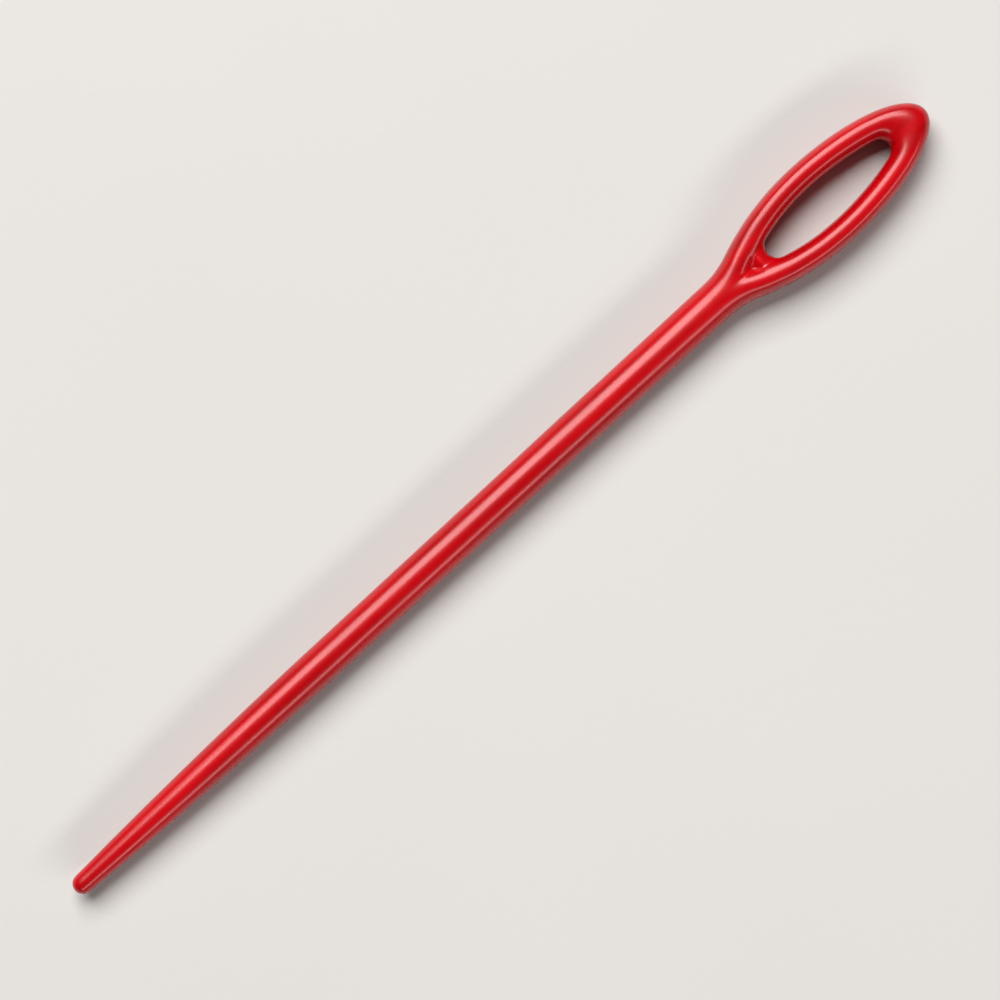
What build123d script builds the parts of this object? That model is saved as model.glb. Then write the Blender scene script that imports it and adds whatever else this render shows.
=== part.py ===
from build123d import *
import os
from math import acos, asin, degrees, sin

# A plastic yarn needle, moulded in one piece: a blunt straight shank and a long oval eye.
# It lies on its side on z = 0 along X, with its point towards -X and its eye towards +X.
# Sizes are in millimetres.

# Whole needle
needle_length = 90.0
shank_diameter = 3.2

# Blunt point
point_diameter = 1.6
body_diameter = 2.95
point_length = 27.0

# Eye, seen from above
eye_length = 12.7
eye_width = 3.3
eye_crotch_radius = 1.0
eye_far_radius = 0.9

# Loop round the eye
strand_width = 2.05
strand_depth = 3.3
nose_width = 3.9
nose_length = 10.9

# Crotch, where the shank parts into the two strands
split_radius = 7.0
web_thickness = 1.5
rim_width = 1.7
rim_depth = 2.5

# The rim stands round a hollow a little wider than the eye's round end, so that it runs into
# the strands, and its corners reach past the hollow's start, inside the strands
web_hollow_share = 1.1
web_reach_share = 0.7

# How the outside of the loop leaves the shank
flare_run_share = 0.9
flare_radius_share = 0.25

# Where the strand's sections stand along its inner and its outer outline
split_shares = (0.0, 0.04, 0.12, 0.22, 0.34, 0.48, 0.64, 0.82, 1.0)
nose_inner_shares = (0.25, 0.5, 0.7, 0.84, 0.88, 0.92, 0.96, 1.0)
nose_outer_shares = (0.17, 0.34, 0.47, 0.57, 0.64, 0.74, 0.86, 1.0)

# Places and half sizes that follow
shank_radius = shank_diameter / 2
point_radius = point_diameter / 2
body_radius = body_diameter / 2
eye_half_width = eye_width / 2
loop_half_width = eye_half_width + strand_width
point_tip_x = -needle_length / 2
nose_tip_x = needle_length / 2
body_x = point_tip_x + point_length
widest_x = nose_tip_x - nose_length
eye_far_x = nose_tip_x - nose_width
eye_crotch_x = eye_far_x - eye_length


def side_radius(run, half_width, end_radius):
    """Radius of the arc that is level at half_width and ends in a round end, run away."""
    reach = run - end_radius
    return (reach**2 + half_width**2 - end_radius**2) / (2 * (half_width - end_radius))


crotch_side_radius = side_radius(widest_x - eye_crotch_x, eye_half_width, eye_crotch_radius)
far_side_radius = side_radius(eye_far_x - widest_x, eye_half_width, eye_far_radius)

# A strand's inner side runs on past the crotch, down to the far side of the shank
split_rise = shank_radius + eye_half_width
split_angle = acos(1 - split_rise / (split_radius + crotch_side_radius))
split_run = (split_radius + crotch_side_radius) * sin(split_angle)
split_x = widest_x - split_run


def s_curve(start, first_radius, second_radius, angle):
    """Two tangent arcs that leave start level, climb, and end level again."""
    climb = JernArc(start, (1, 0), first_radius, degrees(angle))
    ease = JernArc(climb @ 1, climb % 1, second_radius, -degrees(angle))
    return [climb, ease]


def split_inner_outline():
    """Inner side of a strand, from the shank to the eye's widest place."""
    start = (split_x, -shank_radius)
    return Wire(s_curve(start, split_radius, crotch_side_radius, split_angle))


def split_outer_outline():
    """Outside of the loop, from the shank to the loop's widest place."""
    rise = loop_half_width - shank_radius
    run = flare_run_share * split_run
    both_radii = (run**2 + rise**2) / (2 * rise)
    flare_radius = flare_radius_share * both_radii
    shoulder_radius = both_radii - flare_radius
    straight = Line((split_x, shank_radius), (widest_x - run, shank_radius))
    return Wire([straight, *s_curve(straight @ 1, flare_radius, shoulder_radius, asin(run / both_radii))])


def nose_inner_outline():
    """Inner side of a strand, from the eye's widest place to its far end."""
    reach = eye_far_x - eye_far_radius - widest_x
    turn = degrees(asin(reach / (far_side_radius - eye_far_radius)))
    side = JernArc((widest_x, eye_half_width), (1, 0), far_side_radius, -turn)
    end = JernArc(side @ 1, side % 1, eye_far_radius, turn - 90)
    return Wire([side, end])


def nose_outer_outline():
    """Outside of the loop, from its widest place to the needle's end."""
    quarter = EllipticalCenterArc((widest_x, 0), nose_length, loop_half_width, 90, arc_size=-90)
    return Wire([quarter])


def strand_section(inner, outer, depth):
    """Oval section of a strand that spans from its inner to its outer outline."""
    across = outer - inner
    plane = Plane(origin=(inner + outer) / 2, x_dir=across, z_dir=across.cross(Vector(0, 0, 1)))
    return plane * scale(Circle(1), by=(across.length / 2, depth / 2, 1))


def mirrored(point):
    return Vector(point.X, -point.Y)


def strand():
    """Upper strand, from the end of the shank to the middle of the nose."""
    split_inner = split_inner_outline()
    split_outer = split_outer_outline()
    nose_inner = nose_inner_outline()
    nose_outer = nose_outer_outline()
    sections = []
    for share in split_shares:
        depth = shank_diameter + share * (strand_depth - shank_diameter)
        sections.append(strand_section(split_inner @ share, split_outer @ share, depth))
    nose_inner_points = [nose_inner @ share for share in nose_inner_shares]
    nose_outer_points = [nose_outer @ share for share in nose_outer_shares]
    for inner, outer in zip(nose_inner_points, nose_outer_points):
        sections.append(strand_section(inner, outer, strand_depth))
    # Five sections of the other strand carry the loft square through the middle of the nose
    for back in range(2, 7):
        inner = mirrored(nose_inner_points[-back])
        outer = mirrored(nose_outer_points[-back])
        sections.append(strand_section(inner, outer, strand_depth))
    return split(loft(sections), bisect_by=Plane.XZ, keep=Keep.BOTTOM)


def shank():
    """Turned form of the shank: a round point, a long curved taper and a nearly straight body."""
    ball_x = point_tip_x + point_radius
    taper_radius = side_radius(point_length, body_radius, point_radius)
    taper_turn = degrees(asin((body_x - ball_x) / (taper_radius - point_radius)))
    taper = JernArc((body_x, body_radius), (-1, 0), taper_radius, taper_turn)
    ball = JernArc(taper @ 1, taper % 1, point_radius, 90 - taper_turn)
    body = Line((body_x, body_radius), (split_x, shank_radius))
    end = Line(body @ 1, (split_x, 0))
    axis = Line(end @ 1, ball @ 1)
    return revolve(make_face([body, taper, ball, axis, end]), Axis.X)


def web():
    """Floor between the two strands, and the raised rim that closes the eye's near end."""
    hollow_radius = web_hollow_share * eye_crotch_radius
    hollow_x = eye_crotch_x + hollow_radius
    rim_x = hollow_radius + rim_width / 2
    reach = hollow_x - split_x - rim_x
    rim = Pos(rim_x, 0) * Ellipse(rim_width / 2, rim_depth / 2)
    floor = Pos(rim_x + reach / 2, 0) * Rectangle(reach, web_thickness)
    disc = Pos(hollow_x, 0) * revolve(Plane.XZ * (rim + floor), Axis.Z)
    end_x = eye_crotch_x + web_reach_share * hollow_radius
    end_half_width = eye_crotch_radius + strand_width / 2
    corners = [(split_x, 0), (end_x, -end_half_width), (end_x, end_half_width)]
    return disc & extrude(make_face(Polyline(*corners, close=True)), rim_depth, both=True)


def needle():
    """The whole moulding, with its mid plane lifted so that its deepest place lies on z = 0."""
    upper = strand()
    whole = shank() + upper + mirror(upper, about=Plane.XZ) + web()
    return Pos(0, 0, max(shank_diameter, strand_depth) / 2) * whole


os.makedirs("parts", exist_ok=True)
export_step(needle(), "parts/needle.step")
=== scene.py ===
"""A plastic yarn needle on a pale floor: its moulded skin, its plastic, lights and camera."""

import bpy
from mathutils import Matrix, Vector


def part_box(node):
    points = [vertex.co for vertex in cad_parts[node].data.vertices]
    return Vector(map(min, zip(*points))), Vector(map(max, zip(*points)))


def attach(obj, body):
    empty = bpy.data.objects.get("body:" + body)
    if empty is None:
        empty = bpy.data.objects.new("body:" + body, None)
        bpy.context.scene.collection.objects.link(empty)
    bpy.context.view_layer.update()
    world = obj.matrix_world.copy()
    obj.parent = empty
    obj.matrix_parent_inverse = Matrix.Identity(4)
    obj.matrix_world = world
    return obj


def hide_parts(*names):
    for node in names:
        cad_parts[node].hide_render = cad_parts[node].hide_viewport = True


bl_info = {
    "name": "Yarn Needle",
    "version": (1, 0, 0),
    "blender": (4, 5, 0),
    "location": "View3D > Sidebar > Yarn Needle",
    "description": "Models a moulded plastic yarn needle and sets the stage for it",
    "category": "Add Mesh",
}

from math import acos, asin, copysign, cos, pi, radians, sin, sqrt

import bmesh
import bpy
from bpy.props import FloatProperty, FloatVectorProperty, PointerProperty
from mathutils import Vector

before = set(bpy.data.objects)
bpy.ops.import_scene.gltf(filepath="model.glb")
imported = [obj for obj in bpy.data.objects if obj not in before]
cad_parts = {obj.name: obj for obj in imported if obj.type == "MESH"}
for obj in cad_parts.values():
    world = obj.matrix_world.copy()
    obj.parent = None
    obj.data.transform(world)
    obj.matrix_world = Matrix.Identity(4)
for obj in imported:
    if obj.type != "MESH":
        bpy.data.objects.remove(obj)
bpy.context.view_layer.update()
NEEDLE_LOW, NEEDLE_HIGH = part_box("needle")
MM = 0.001
UP = Vector((0, 0, 1))

# Steps in a row of the cage, over a quarter of the round shank or over the top of a strand
ROW_STEPS = 8
# Rounds in which the cage is swollen, and how many times it is then subdivided
SWELL_ROUNDS = 6
SMOOTH_LEVELS = 2
# Vertices this near to each other join at the mirror planes
MERGE_DISTANCE = 0.001 * MM
# Vertices this near to the middle plane lie on the parting line
PARTING_TOLERANCE = 0.0005 * MM

# How far round the blunt point's ball the first grid reaches, and the turn of its diagonal
BALL_REACH = radians(62)
DIAGONAL = radians(45)
# Where rows stand on the point, the body and the neck, as shares of the length of each
POINT_SHARES = (0.029, 0.056, 0.1, 0.18, 0.31, 0.48, 0.68, 0.88)
BODY_SHARES = (0.03, 0.2, 0.4, 0.6, 0.78, 0.91)
NECK_SHARES = (0.02, 0.17, 0.3, 0.41, 0.5, 0.575, 0.64, 0.7, 0.755, 0.81, 0.87)

# How the outside of the loop leaves the shank: the length of its curve as a share of the inner
# side's, and the share of the curve's two radii that is the hollow one's
FLARE_RUN_SHARE = 0.9
FLARE_RADIUS_SHARE = 0.25
# Squareness of a strand's oval section, where 2 is an ellipse. It broadens the crest and its shine
STRAND_BREADTH = 2.4
# How softly the plastic fills the crease where the two strands start to part
CREASE_SOFTNESS = 0.4 * MM
# How softly the web's floor runs into its rim and into the strands
WEB_SOFTNESS = 0.45 * MM

# Turns round the eye's end at the shank where the rim's rows stand, and how far they climb its side
CROTCH_TURNS = (0, radians(31), radians(60))
UPPER_CLIMB = radians(45)
LOWER_CLIMB = radians(21)
# The neck's last row meets the outside this far before the crotch
CROTCH_SETBACK = 0.1 * MM
# Rows of a strand up to the loop's widest place: shares of the way along its inside and outside
NEAR_SHARES = ((0.21, 0.14), (0.39, 0.37), (0.65, 0.65), (1, 1))
# Rows from there to the eye's far end: the share along the inside, and degrees round the outside
FAR_SHARES = ((0.3, 11), (0.6, 23), (0.81, 34))
# Rows round the eye's far end: degrees round it, and round the outside
NOSE_TURNS = ((80, 44), (60, 53), (43, 62), (28, 71), (14, 80), (0, 90))

# The stage: each lamp's name, turn and height in degrees, size in metres and power in watts
LAMPS = (("window", 70, 53, (2.0, 1.6), 99),
         ("fill", -96, 33, (3.6, 0.4), 32))
LAMP_DISTANCE = 2.4
FLOOR_SIZE = 6
WORLD_COLOUR = "#F3F6F9"
WORLD_STRENGTH = 0.05
LENS = 135
SENSOR = 36
CLIP_START = 0.01
CLIP_END = 20


def linear(hex_colour):
    """Linear colour of an sRGB hex value."""
    channels = [int(hex_colour[i:i + 2], 16) / 255 for i in (1, 3, 5)]
    return tuple(c / 12.92 if c <= 0.04045 else ((c + 0.055) / 1.055) ** 2.4 for c in channels)


class NeedleSizes(bpy.types.PropertyGroup):
    """Sizes of the moulding. Its length, width and depth come from the frame."""

    shank_diameter: FloatProperty(
        name="Shank", description="Diameter of the shank where the eye begins",
        default=3.2 * MM, unit="LENGTH")
    body_diameter: FloatProperty(
        name="Body", description="Diameter of the shank where the point begins",
        default=2.95 * MM, unit="LENGTH")
    point_diameter: FloatProperty(
        name="Point", description="Diameter of the blunt point's round end",
        default=1.6 * MM, unit="LENGTH")
    point_length: FloatProperty(
        name="Point length", description="Length of the tapered point",
        default=27 * MM, unit="LENGTH")
    eye_length: FloatProperty(
        name="Eye length", description="Length of the eye's opening",
        default=12.7 * MM, unit="LENGTH")
    eye_width: FloatProperty(
        name="Eye width", description="Width of the eye's opening at its widest",
        default=3.3 * MM, unit="LENGTH")
    eye_crotch_radius: FloatProperty(
        name="Crotch radius", description="Radius of the eye's end at the shank",
        default=1.0 * MM, unit="LENGTH")
    eye_far_radius: FloatProperty(
        name="Far radius", description="Radius of the eye's far end",
        default=0.9 * MM, unit="LENGTH")
    nose_width: FloatProperty(
        name="Nose", description="Plastic beyond the eye's far end",
        default=3.9 * MM, unit="LENGTH")
    nose_length: FloatProperty(
        name="Nose length", description="From the loop's widest place to the needle's end",
        default=10.9 * MM, unit="LENGTH")
    split_radius: FloatProperty(
        name="Split radius", description="Radius at which a strand's inner side leaves the shank",
        default=7.0 * MM, unit="LENGTH")
    web_thickness: FloatProperty(
        name="Web", description="Thickness of the floor between the strands, creases filled",
        default=1.9 * MM, unit="LENGTH")
    rim_width: FloatProperty(
        name="Rim width", description="Width of the raised rim round the eye's end at the shank",
        default=1.7 * MM, unit="LENGTH")
    rim_depth: FloatProperty(
        name="Rim depth", description="Depth of the raised rim",
        default=2.5 * MM, unit="LENGTH")
    flash_height: FloatProperty(
        name="Parting line", description="How far the line where the mould's halves met stands up",
        default=0.015 * MM, unit="LENGTH")


class NeedlePlastic(bpy.types.PropertyGroup):
    """Colours and finish of the plastic."""

    colour: FloatVectorProperty(
        name="Colour", description="Main colour of the plastic",
        subtype="COLOR", size=3, min=0, max=1, default=linear("#B8000B"))
    deep_colour: FloatVectorProperty(
        name="Deep colour", description="Colour where the pigment lies thicker along the flow",
        subtype="COLOR", size=3, min=0, max=1, default=linear("#A00006"))
    roughness: FloatProperty(
        name="Roughness", description="Mean roughness of the moulded surface",
        default=0.27, min=0, max=1, subtype="FACTOR")


class StageSettings(bpy.types.PropertyGroup):
    """Floor, lights and camera."""

    floor_colour: FloatVectorProperty(
        name="Floor", description="Colour of the floor",
        subtype="COLOR", size=3, min=0, max=1, default=linear("#C2BFBB"))
    camera_turn: FloatProperty(
        name="Needle's slant", description="Angle at which the needle slants up across the picture",
        default=radians(42.6), subtype="ANGLE")
    picture_width: FloatProperty(
        name="Picture width", description="Width of floor that the camera sees",
        default=78 * MM, unit="LENGTH")


def side_radius(run, half_width, end_radius):
    """Radius of the arc that is level at half_width and runs into a round end."""
    reach = run - end_radius
    return (reach**2 + half_width**2 - end_radius**2) / (2 * (half_width - end_radius))


def rounded_top(first, second):
    """The higher of two heights, with a soft corner where they meet."""
    overlap = max(0, 1 - abs(first - second) / WEB_SOFTNESS)
    return max(first, second) + overlap**2 * WEB_SOFTNESS / 4


def across_oval(turn, breadth):
    """How far across an oval a turn reaches, from 1 to -1. More breadth makes a squarer oval."""
    return copysign(abs(cos(turn))**(2 / breadth), cos(turn))


def oval_height(across, breadth):
    """Height of the oval there, up to 1 at its crest."""
    return max(0, 1 - abs(across)**breadth)**(1 / breadth)


class LoopPlan:
    """Outlines of the eye and of the loop round it, for the side y >= 0, and the web's height."""

    def __init__(self, sizes):
        self.sizes = sizes
        self.mid = (NEEDLE_LOW.z + NEEDLE_HIGH.z) / 2
        self.half_depth = (NEEDLE_HIGH.z - NEEDLE_LOW.z) / 2
        self.half_width = NEEDLE_HIGH.y
        self.tip_x = NEEDLE_LOW.x
        self.nose_x = NEEDLE_HIGH.x
        self.shank_radius = sizes.shank_diameter / 2
        self.eye_half_width = sizes.eye_width / 2
        self.widest_x = self.nose_x - sizes.nose_length
        self.eye_far_x = self.nose_x - sizes.nose_width
        self.crotch_x = self.eye_far_x - sizes.eye_length
        self.near_run = self.widest_x - self.crotch_x
        self.far_run = self.eye_far_x - self.widest_x
        self.near_radius = side_radius(self.near_run, self.eye_half_width, sizes.eye_crotch_radius)
        self.far_radius = side_radius(self.far_run, self.eye_half_width, sizes.eye_far_radius)

        # A strand's inner side starts from the shank's far side, and its outside from the near one
        split_radii = sizes.split_radius + self.near_radius
        self.split_angle = acos(1 - (self.shank_radius + self.eye_half_width) / split_radii)
        self.split_x = self.widest_x - split_radii * sin(self.split_angle)
        rise = self.half_width - self.shank_radius
        self.flare_run = FLARE_RUN_SHARE * split_radii * sin(self.split_angle)
        flare_radii = (self.flare_run**2 + rise**2) / (2 * rise)
        self.flare_angle = asin(self.flare_run / flare_radii)
        self.flare_radius = FLARE_RADIUS_SHARE * flare_radii
        self.shoulder_radius = flare_radii - self.flare_radius

    def outside(self, x):
        """Half width of the loop at x, between the shank and the loop's widest place."""
        start_x = self.widest_x - self.flare_run
        if x < start_x:
            return self.shank_radius
        if x < start_x + self.flare_radius * sin(self.flare_angle):
            fall = sqrt(self.flare_radius**2 - (x - start_x)**2)
            return self.shank_radius + self.flare_radius - fall
        rise = sqrt(self.shoulder_radius**2 - (self.widest_x - x)**2)
        return self.half_width - self.shoulder_radius + rise

    def strand_inside(self, x):
        """Inner side of a strand at x, which starts from the shank's far side."""
        radius = self.sizes.split_radius
        if x < self.split_x + radius * sin(self.split_angle):
            return radius - self.shank_radius - sqrt(radius**2 - (x - self.split_x)**2)
        return self.eye_side(x)

    def eye_side(self, x):
        """Half width of the eye at x, along its long sides."""
        radius = self.near_radius if x < self.widest_x else self.far_radius
        return self.eye_half_width - radius + sqrt(radius**2 - (self.widest_x - x)**2)

    def crotch_rim(self, angle, climb=0):
        """Place on the rim of the eye's round end, from the middle plane up to the rim's crest."""
        radius = self.sizes.eye_crotch_radius
        reach = radius + self.sizes.rim_width / 2 * (1 - cos(climb))
        return Vector((self.crotch_x + radius - reach * cos(angle), reach * sin(angle),
                       self.sizes.rim_depth / 2 * sin(climb)))

    def web_height(self, x, y):
        """Height over the middle plane of the web's floor and of the rim that rises from it."""
        half_width = self.sizes.rim_width / 2
        radius = self.sizes.eye_crotch_radius
        from_middle = sqrt((self.crotch_x + radius - x)**2 + y**2)
        from_crest = (from_middle - radius - half_width) / half_width
        rim = self.sizes.rim_depth / 2 * sqrt(max(0, 1 - from_crest**2))
        return rounded_top(self.sizes.web_thickness / 2, rim)

    def far_edge(self, angle):
        """Place on the eye's round far end."""
        radius = self.sizes.eye_far_radius
        return Vector((self.eye_far_x - radius + radius * cos(angle), radius * sin(angle), 0))

    def nose_edge(self, angle):
        """Place on the outside, from the loop's widest place round to the needle's end."""
        reach = self.nose_x - self.widest_x
        return Vector((self.widest_x + reach * sin(angle), self.half_width * cos(angle), 0))


def on_ball(plan, u, v):
    """Place on the blunt point's ball for a place on a unit square with the tip at corner 0, 0."""
    radius = plan.sizes.point_diameter / 2
    turn = 0
    if u or v:
        turn = DIAGONAL * v / u if v <= u else 2 * DIAGONAL - DIAGONAL * u / v
    from_tip = BALL_REACH * max(u, v)
    return Vector((plan.tip_x + radius - radius * cos(from_tip),
                   radius * sin(from_tip) * sin(turn), radius * sin(from_tip) * cos(turn)))


def ball_row(plan):
    """The outer edge of the ball's grid, from its top to its side."""
    steps = ROW_STEPS // 2
    return ([on_ball(plan, 1, i / steps) for i in range(steps)]
            + [on_ball(plan, 1 - i / steps, 1) for i in range(steps + 1)])


def round_row(x, radius):
    """A row over a quarter of the round shank, from its top to its side."""
    turns = [i * pi / (2 * ROW_STEPS) for i in range(ROW_STEPS + 1)]
    return [Vector((x, radius * sin(turn), radius * cos(turn))) for turn in turns]


def strand_row(inner, outer, half_depth):
    """A row over a strand, from the eye's edge across its broad crest to the outside."""
    centre = (inner + outer) / 2
    reach = (outer - inner) / 2
    places = [across_oval(i * pi / ROW_STEPS, STRAND_BREADTH) for i in range(ROW_STEPS + 1)]
    return [centre - reach * across + UP * half_depth * oval_height(across, STRAND_BREADTH)
            for across in places]


def shank_rows(plan):
    """Rows along the shank, from the round end to the neck."""
    sizes = plan.sizes
    body_x = plan.tip_x + sizes.point_length
    body_radius = sizes.body_diameter / 2
    taper = side_radius(sizes.point_length, body_radius, sizes.point_diameter / 2)
    rows = []
    for share in POINT_SHARES:
        x = plan.tip_x + share * sizes.point_length
        rows.append(round_row(x, body_radius - taper + sqrt(taper**2 - (body_x - x)**2)))
    for share in BODY_SHARES:
        x = body_x + share * (plan.split_x - body_x)
        rows.append(round_row(x, body_radius + share * (plan.shank_radius - body_radius)))
    return rows


def neck_rows(plan):
    """Rows over the neck, where a soft groove opens between the strands.

    It deepens to the floor of the web, which then rises to the rim."""
    rows = []
    for share in NECK_SHARES:
        x = plan.split_x + share * (plan.crotch_x - plan.split_x)
        inside, outside = plan.strand_inside(x), plan.outside(x)
        centre, half = (inside + outside) / 2, (outside - inside) / 2
        depth = plan.shank_radius + share * (plan.half_depth - plan.shank_radius)
        breadth = 2 + share * (STRAND_BREADTH - 2)
        groove = acos(-min(1, centre / half)**(breadth / 2))
        row = []
        for i in range(ROW_STEPS + 1):
            turn = groove * (ROW_STEPS - i) / ROW_STEPS
            y = centre + half * across_oval(turn, breadth) if i else 0
            softness = CREASE_SOFTNESS * (1 - share) * (1 - i / ROW_STEPS)
            soft_y = sqrt(y**2 + softness**2) if softness else y
            height = depth * oval_height((soft_y - centre) / half, breadth)
            # The web lies between the strands, so it stops short of their crests
            if i < ROW_STEPS // 2:
                height = rounded_top(height, plan.web_height(x, y))
            row.append(Vector((x, y, height)))
        rows.append(row)
    return rows


def crotch_rows(plan):
    """The row that ends the neck, and the two that take the rim down to the eye's edge."""
    outer_x = plan.crotch_x - CROTCH_SETBACK
    outer = Vector((outer_x, plan.outside(outer_x), 0))
    strand = strand_row(plan.crotch_rim(CROTCH_TURNS[2]), outer, plan.half_depth)
    last, lower, edge = [[plan.crotch_rim(turn, climb) for turn in CROTCH_TURNS[:2]]
                         for climb in (UPPER_CLIMB, LOWER_CLIMB, 0)]
    return last + strand[2:], lower + [strand[1]], edge + [strand[0]]


def side_rows(plan):
    """Rows along a strand, from the crotch to the middle of the nose."""
    edges = []
    for inner_share, outer_share in NEAR_SHARES:
        inner_x = plan.crotch_x + inner_share * plan.near_run
        outer_x = plan.crotch_x + outer_share * plan.near_run
        edges.append((Vector((inner_x, plan.eye_side(inner_x), 0)),
                      Vector((outer_x, plan.outside(outer_x), 0))))
    for share, angle in FAR_SHARES:
        x = plan.widest_x + share * plan.far_run
        edges.append((Vector((x, plan.eye_side(x), 0)), plan.nose_edge(radians(angle))))
    for inner_angle, outer_angle in NOSE_TURNS:
        edges.append((plan.far_edge(radians(inner_angle)), plan.nose_edge(radians(outer_angle))))
    rows = [strand_row(inner, outer, plan.half_depth) for inner, outer in edges]
    for point in rows[-1]:
        point.y = 0
    return rows


def vertex_at(cage, place):
    """The vertex that lies at a place."""
    return min(cage.verts, key=lambda vertex: (vertex.co - place).length_squared)


def pull_to(mesh, places):
    """Moves each vertex, given by its number, to its place."""
    for number, place in places.items():
        bpy.ops.mesh.select_all(action="DESELECT")
        cage = bmesh.from_edit_mesh(mesh)
        cage.verts.ensure_lookup_table()
        cage.verts[number].select = True
        shift = place - cage.verts[number].co
        bmesh.update_edit_mesh(mesh)
        bpy.ops.transform.translate(value=shift)


def extrude_rows(mesh, row, next_rows):
    """Extrudes the edges that join a row of places, to one row of places after another."""
    for next_row in next_rows:
        bpy.ops.mesh.select_all(action="DESELECT")
        cage = bmesh.from_edit_mesh(mesh)
        vertices = [vertex_at(cage, place) for place in row]
        for first, second in zip(vertices, vertices[1:]):
            cage.edges.get((first, second)).select = True
        bmesh.update_edit_mesh(mesh)
        bpy.ops.mesh.extrude_edges_move()
        cage = bmesh.from_edit_mesh(mesh)
        places = {}
        for vertex in cage.verts:
            if vertex.select:
                nearest = min(range(len(row)), key=lambda i: (vertex.co - row[i]).length_squared)
                places[vertex.index] = next_row[nearest]
        pull_to(mesh, places)
        row = next_row


def draw_quarter(mesh, plan):
    """Draws the cage's quarter y >= 0, z >= 0 from a square grid, row by row to the nose."""
    cage = bmesh.from_edit_mesh(mesh)
    pull_to(mesh, {vertex.index: on_ball(plan, (vertex.co.x + 1) / 2, (vertex.co.y + 1) / 2)
                   for vertex in cage.verts})
    last, lower, edge = crotch_rows(plan)
    extrude_rows(mesh, ball_row(plan), [*shank_rows(plan), *neck_rows(plan), last])
    # The rim goes down to the eye's edge, and then a strand runs from the crotch to the nose
    extrude_rows(mesh, last[:3], [lower, edge])
    extrude_rows(mesh, [edge[2], lower[2], *last[2:]], side_rows(plan))


def smooth_place(vertex):
    """Where a vertex of a cage of quads comes to lie once the cage is subdivided to its limit."""
    count = len(vertex.link_edges)
    near = sum((edge.other_vert(vertex).co for edge in vertex.link_edges), Vector())
    far = sum((loop.link_loop_next.link_loop_next.vert.co for loop in vertex.link_loops), Vector())
    return (vertex.co * count**2 + near * 4 + far) / (count * (count + 5))


def swell_cage(mesh):
    """Swells the cage until the smooth surface inside it passes through the places first drawn."""
    cage = bmesh.from_edit_mesh(mesh)
    drawn = [vertex.co.copy() for vertex in cage.verts]
    for _ in range(SWELL_ROUNDS):
        shifts = [place - smooth_place(vertex) for place, vertex in zip(drawn, cage.verts)]
        for vertex, shift in zip(cage.verts, shifts):
            vertex.co += shift
    bmesh.update_edit_mesh(mesh)


def raise_parting_line(mesh, height):
    """Raises the line round the middle plane, where the two halves of the mould met."""
    bpy.ops.mesh.select_all(action="DESELECT")
    skin = bmesh.from_edit_mesh(mesh)
    for vertex in skin.verts:
        vertex.select = abs(vertex.co.z) < PARTING_TOLERANCE
    bmesh.update_edit_mesh(mesh)
    bpy.ops.transform.shrink_fatten(value=height)


def apply_modifier(piece, kind, **settings):
    """Adds a modifier to the active piece, sets it and applies it."""
    modifier = piece.modifiers.new(kind.title(), kind)
    for name, value in settings.items():
        setattr(modifier, name, value)
    bpy.ops.object.modifier_apply(modifier=modifier.name)


def add_node(tree, kind, settings=None, **sockets):
    """Adds a node, sets it, and links or sets its inputs. Spaces in names are underscores.

    Of several inputs with one name, those after the first go by identifiers such as Value_001."""
    node = tree.nodes.new(kind)
    for name, value in (settings or {}).items():
        setattr(node, name, value)
    for name, value in sockets.items():
        socket = next(found for found in node.inputs if found.enabled
                      and name in (found.name.replace(" ", "_"), found.identifier))
        if isinstance(value, bpy.types.NodeSocket):
            tree.links.new(value, socket)
        else:
            socket.default_value = value
    return node


def add_noise(tree, place, width, length=None, **sockets):
    """Noise in patches of a real width, drawn out along the needle where a length is given."""
    if length:
        stretch = (width / length, 1, 1)
        place = add_node(tree, "ShaderNodeMapping", Vector=place, Scale=stretch).outputs[0]
    noise = add_node(tree, "ShaderNodeTexNoise", Vector=place, Scale=1 / width, **sockets)
    return noise.outputs["Fac"]


def new_material(name):
    """A material with no nodes but the object's own coordinates."""
    material = bpy.data.materials.new(name)
    material.use_nodes = True
    tree = material.node_tree
    tree.nodes.clear()
    return material, tree, add_node(tree, "ShaderNodeTexCoord").outputs["Object"]


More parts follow.
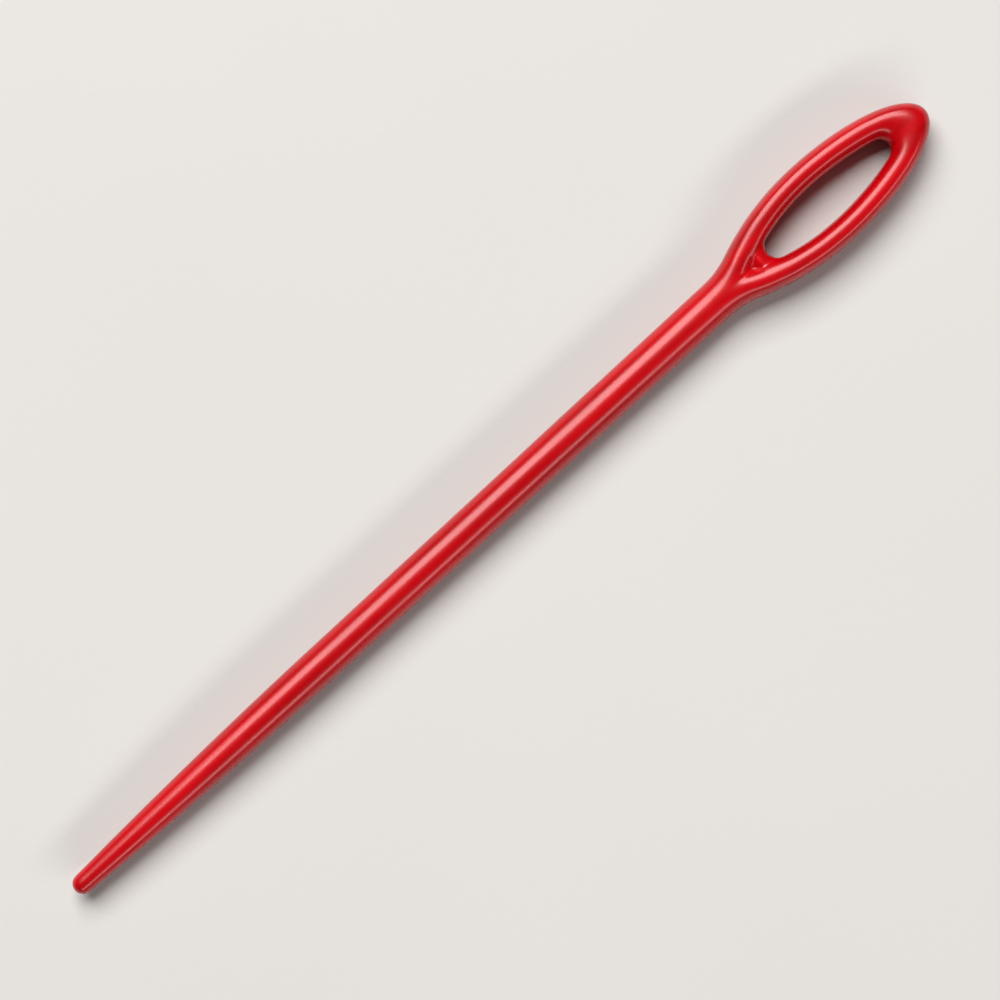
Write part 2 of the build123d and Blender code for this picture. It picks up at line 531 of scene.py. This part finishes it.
def moulded_polypropylene(plastic):
    """Polypropylene, injection moulded in a polished steel mould.

    It is coloured right through, lets a little light in, and shines softly. The flow into the
    mould leaves long faint streaks of pigment, and the mould's polish leaves fine lines along
    the needle."""
    material, tree, place = new_material("moulded_polypropylene")

    # Streaks of flow, where the pigment lies thicker and the red looks deeper
    flow = add_noise(tree, place, 0.9 * MM, length=14 * MM, Detail=1.0)
    streaks = add_node(tree, "ShaderNodeMapRange", Value=flow, From_Min=0.35, From_Max=0.7)
    colour = add_node(tree, "ShaderNodeMix", {"data_type": "RGBA"}, Factor=streaks.outputs[0],
                      A=(*plastic.colour, 1), B=(*plastic.deep_colour, 1))

    # Fine lines of the mould's polish, really under 0.02 mm wide and drawn at 0.12 mm so that
    # they show, and patches left by handling, where the shine is duller
    lines = add_noise(tree, place, 0.12 * MM, length=5 * MM, Detail=2.0)
    wear = add_noise(tree, place, 2 * MM, Detail=4.0, Roughness=0.6)
    dullness = add_node(tree, "ShaderNodeMath", {"operation": "MULTIPLY_ADD"},
                        Value=lines, Value_001=0.3, Value_002=wear)
    roughness = add_node(tree, "ShaderNodeMapRange", Value=dullness.outputs[0],
                         From_Min=0.4, From_Max=0.9,
                         To_Min=plastic.roughness - 0.02, To_Max=plastic.roughness + 0.03)

    # Slow waves of shrinkage, five thousandths of a millimetre deep, which make the shine uneven,
    # and over them the polish lines, far shallower
    shrink = add_noise(tree, place, 3 * MM, Detail=1.0)
    waves = add_node(tree, "ShaderNodeBump", Strength=1.0, Distance=0.005 * MM, Height=shrink)
    polish = add_node(tree, "ShaderNodeBump", Strength=1.0, Distance=0.00012 * MM,
                      Height=lines, Normal=waves.outputs[0])

    # A shine a little redder than the lamps, and a faint sharper one over it
    shader = add_node(tree, "ShaderNodeBsdfPrincipled",
                      Base_Color=colour.outputs["Result"],
                      Roughness=roughness.outputs[0], IOR=1.49, Normal=polish.outputs[0],
                      Subsurface_Weight=0.12, Subsurface_Radius=(1.0, 0.12, 0.1),
                      Subsurface_Scale=0.6 * MM,
                      Specular_IOR_Level=0.6, Specular_Tint=(*linear("#FFD4D4"), 1),
                      Coat_Weight=0.05, Coat_Roughness=0.1)
    add_node(tree, "ShaderNodeOutputMaterial", Surface=shader.outputs[0])
    return material


def matt_laminate(stage):
    """A pale table top of matt laminate, pressed with a fine grain that softens its shine."""
    material, tree, place = new_material("matt_laminate")

    # Broad clouds in the printed layer, hardly lighter and darker than the rest
    cloud = add_noise(tree, place, 60 * MM, Detail=3.0)
    tone = add_node(tree, "ShaderNodeMapRange", Value=cloud, To_Min=0.97, To_Max=1.03)
    colour = add_node(tree, "ShaderNodeVectorMath", {"operation": "SCALE"},
                      Vector=tuple(stage.floor_colour), Scale=tone.outputs[0])

    # The pressed grain
    grain = add_noise(tree, place, 0.4 * MM, Detail=3.0)
    bump = add_node(tree, "ShaderNodeBump", Strength=0.5, Distance=0.02 * MM, Height=grain)
    shader = add_node(tree, "ShaderNodeBsdfPrincipled", Base_Color=colour.outputs[0],
                      Roughness=0.6, Normal=bump.outputs[0])
    add_node(tree, "ShaderNodeOutputMaterial", Surface=shader.outputs[0])
    return material


class NEEDLE_OT_mould_needle(bpy.types.Operator):
    """Model the needle: its point, shank, neck and eye in one smooth skin"""

    bl_idname = "needle.mould_needle"
    bl_label = "Mould Needle"

    def execute(self, context):
        sizes = context.scene.needle_sizes
        plan = LoopPlan(sizes)
        bpy.ops.object.select_all(action="DESELECT")
        bpy.ops.mesh.primitive_grid_add(
            x_subdivisions=ROW_STEPS // 2, y_subdivisions=ROW_STEPS // 2, size=2)
        needle = context.object
        needle.name = "moulded_needle"
        mesh = needle.data
        bpy.ops.object.mode_set(mode="EDIT")
        draw_quarter(mesh, plan)
        bpy.ops.object.mode_set(mode="OBJECT")
        apply_modifier(needle, "MIRROR", use_axis=(False, True, True),
                       merge_threshold=MERGE_DISTANCE)

        bpy.ops.object.mode_set(mode="EDIT")
        swell_cage(mesh)
        bpy.ops.object.mode_set(mode="OBJECT")
        apply_modifier(needle, "SUBSURF", levels=SMOOTH_LEVELS, render_levels=SMOOTH_LEVELS)

        bpy.ops.object.mode_set(mode="EDIT")
        if any(len(edge.link_faces) != 2 for edge in bmesh.from_edit_mesh(mesh).edges):
            raise RuntimeError("The needle's skin isn't closed")
        bpy.ops.mesh.select_all(action="SELECT")
        bpy.ops.mesh.normals_make_consistent(inside=False)
        raise_parting_line(mesh, sizes.flash_height)

        # The needle was drawn about its middle plane, and now rises onto the floor
        bpy.ops.mesh.select_all(action="SELECT")
        bpy.ops.transform.translate(value=(0, 0, plan.mid))
        bpy.ops.object.mode_set(mode="OBJECT")
        bpy.ops.object.shade_smooth()
        mesh.materials.append(moulded_polypropylene(context.scene.needle_plastic))
        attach(needle, "root")
        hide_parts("needle")
        return {"FINISHED"}


class NEEDLE_OT_set_stage(bpy.types.Operator):
    """Lay the floor and set up the lights and the camera"""

    bl_idname = "needle.set_stage"
    bl_label = "Set Stage"

    def execute(self, context):
        stage = context.scene.needle_stage
        bpy.ops.object.select_all(action="DESELECT")
        bpy.ops.mesh.primitive_plane_add(size=FLOOR_SIZE, location=(0, 0, NEEDLE_LOW.z))
        floor = context.object
        floor.name = "floor"
        bpy.ops.object.transform_apply(location=True)
        floor.data.materials.append(matt_laminate(stage))

        middle = (NEEDLE_LOW + NEEDLE_HIGH) / 2
        for name, turn, height, size, power in LAMPS:
            turn, height = radians(turn), radians(height)
            away = Vector((cos(turn) * cos(height), sin(turn) * cos(height), sin(height)))
            bpy.ops.object.light_add(type="AREA", location=middle + away * LAMP_DISTANCE)
            lamp = context.object
            lamp.name = name
            lamp.rotation_euler = away.to_track_quat("Z", "Y").to_euler()
            lamp.data.shape = "RECTANGLE"
            lamp.data.size, lamp.data.size_y = size
            lamp.data.energy = power

        world = bpy.data.worlds.new("studio")
        world.use_nodes = True
        background = world.node_tree.nodes["Background"]
        background.inputs["Color"].default_value = (*linear(WORLD_COLOUR), 1)
        background.inputs["Strength"].default_value = WORLD_STRENGTH
        context.scene.world = world

        # The camera looks straight down, from as high as its lens needs for the picture's width
        height = stage.picture_width * LENS / SENSOR
        bpy.ops.object.camera_add(location=(middle.x, middle.y, middle.z + height),
                                  rotation=(0, 0, -stage.camera_turn))
        camera = context.object
        camera.data.lens = LENS
        camera.data.sensor_width = SENSOR
        camera.data.clip_start = CLIP_START
        camera.data.clip_end = CLIP_END
        context.scene.camera = camera
        context.scene.view_settings.view_transform = "Standard"
        return {"FINISHED"}


class NEEDLE_PT_panel(bpy.types.Panel):
    """Sizes, plastic and stage of the yarn needle"""

    bl_label = "Yarn Needle"
    bl_idname = "NEEDLE_PT_panel"
    bl_space_type = "VIEW_3D"
    bl_region_type = "UI"
    bl_category = "Yarn Needle"

    def draw(self, context):
        for title, group, operator in (
                ("Sizes", context.scene.needle_sizes, NEEDLE_OT_mould_needle.bl_idname),
                ("Plastic", context.scene.needle_plastic, None),
                ("Stage", context.scene.needle_stage, NEEDLE_OT_set_stage.bl_idname)):
            box = self.layout.box()
            box.label(text=title)
            for name in group.__annotations__:
                box.prop(group, name)
            if operator:
                box.operator(operator)


CLASSES = (NeedleSizes, NeedlePlastic, StageSettings,
           NEEDLE_OT_mould_needle, NEEDLE_OT_set_stage, NEEDLE_PT_panel)
GROUPS = {"needle_sizes": NeedleSizes, "needle_plastic": NeedlePlastic,
          "needle_stage": StageSettings}


def register():
    for cls in CLASSES:
        bpy.utils.register_class(cls)
    for name, group in GROUPS.items():
        setattr(bpy.types.Scene, name, PointerProperty(type=group))


def unregister():
    for name in GROUPS:
        delattr(bpy.types.Scene, name)
    for cls in reversed(CLASSES):
        bpy.utils.unregister_class(cls)


def main():
    register()
    bpy.ops.needle.mould_needle()
    bpy.ops.needle.set_stage()


if __name__ == "__main__":
    main()
